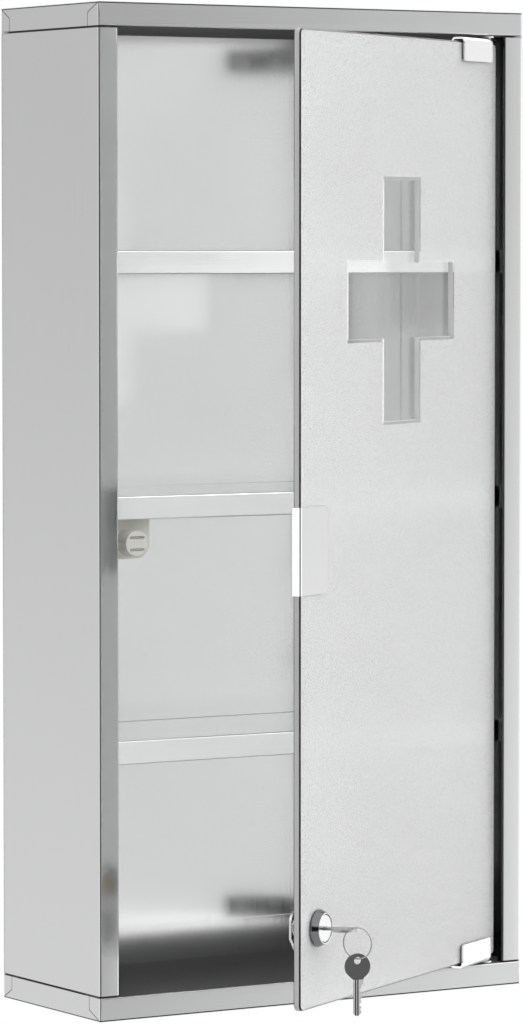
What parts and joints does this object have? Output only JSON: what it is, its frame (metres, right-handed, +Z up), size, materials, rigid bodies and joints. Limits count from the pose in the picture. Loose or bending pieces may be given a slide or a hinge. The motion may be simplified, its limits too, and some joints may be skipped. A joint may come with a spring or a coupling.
{
  "type": "glass door medical cabinet",
  "caption": "Wall-hung medicine cabinet of folded stainless steel with fixed shelves, a frosted glass door on pivot clamps, a cam lock with keys and a magnetic catch.",
  "frame": {"origin": "middle of the back panel's rear face, which lies against the wall", "axes": "+Z up, +Y out of the rear face into the wall, +X to the right seen from the front, where the door has its pivots"},
  "size_m": [0.3, 0.2694, 0.6],
  "materials": {
    "satin_steel": "satin stainless steel with soft reflections",
    "polished_steel": "mirror-polished stainless steel",
    "chrome": "bright chrome plate",
    "brass": "turned brass",
    "key_steel": "dull nickel plate",
    "fastener_steel": "bright zinc plate",
    "ferrite": "sintered ferrite",
    "grey_plastic": "light grey moulded plastic",
    "nylon": "natural nylon",
    "rubber": "black rubber",
    "frosted_glass": "float glass, satin-etched with a clear cross"
  },
  "bodies": {
    "cabinet": {"left_side_panel": "satin_steel", "right_side_panel": "satin_steel", "top_cap": "satin_steel", "bottom_cap": "satin_steel", "back_panel": "satin_steel", "upper_shelf": "satin_steel", "middle_shelf": "satin_steel", "lower_shelf": "satin_steel", "catch_bracket": "grey_plastic", "catch_housing": "grey_plastic", "catch_magnet": "ferrite", "upper_pole_plate": "fastener_steel", "lower_pole_plate": "fastener_steel", "upper_catch_screw": "fastener_steel", "lower_catch_screw": "fastener_steel", "upper_pivot_bush": "nylon", "lower_pivot_bush": "nylon"},
    "door": {"door_glass": "frosted_glass", "upper_hinge_clamp": "polished_steel", "lower_hinge_clamp": "polished_steel", "upper_clamp_pad": "rubber", "lower_clamp_pad": "rubber", "upper_pivot_pin": "fastener_steel", "lower_pivot_pin": "fastener_steel", "upper_clamp_outer_screw": "fastener_steel", "upper_clamp_inner_screw": "fastener_steel", "lower_clamp_outer_screw": "fastener_steel", "lower_clamp_inner_screw": "fastener_steel", "door_handle": "polished_steel", "lock_housing": "chrome", "lock_gasket": "rubber", "lock_nut": "chrome"},
    "lock_core": {"lock_plug": "chrome", "lock_cam": "fastener_steel", "cam_screw": "brass"},
    "key": {"key_in_lock": "key_steel"},
    "ring": {"key_ring": "key_steel"},
    "hanging_key": {"spare_key": "key_steel"}
  },
  "joints": [
    {"name": "door_swing", "type": "hinge", "parent": "cabinet", "child": "door", "pos_m": [0.1274, -0.11435, 0], "axis": [0, 0, 1], "range_deg": [-31.1, 78.9]},
    {"name": "lock_turn", "type": "hinge", "parent": "door", "child": "lock_core", "pos_m": [-0.07523, -0.23921, -0.235], "axis": [-0.5165, 0.8563, 0], "range_deg": [0, 90]},
    {"name": "key_slide", "type": "slide", "parent": "lock_core", "child": "key", "axis": [0.5165, -0.8563, 0], "range_m": [0, 0.017]},
    {"name": "ring_turn", "type": "hinge", "parent": "key", "child": "ring", "pos_m": [-0.06193, -0.26126, -0.24225], "axis": [0.8563, 0.5165, 0], "range_deg": [-35, 35]},
    {"name": "spare_key_swing", "type": "hinge", "parent": "ring", "child": "hanging_key", "pos_m": [-0.06193, -0.26126, -0.25125], "axis": [-0.5165, 0.8563, 0], "range_deg": [-100, 100]}
  ]
}
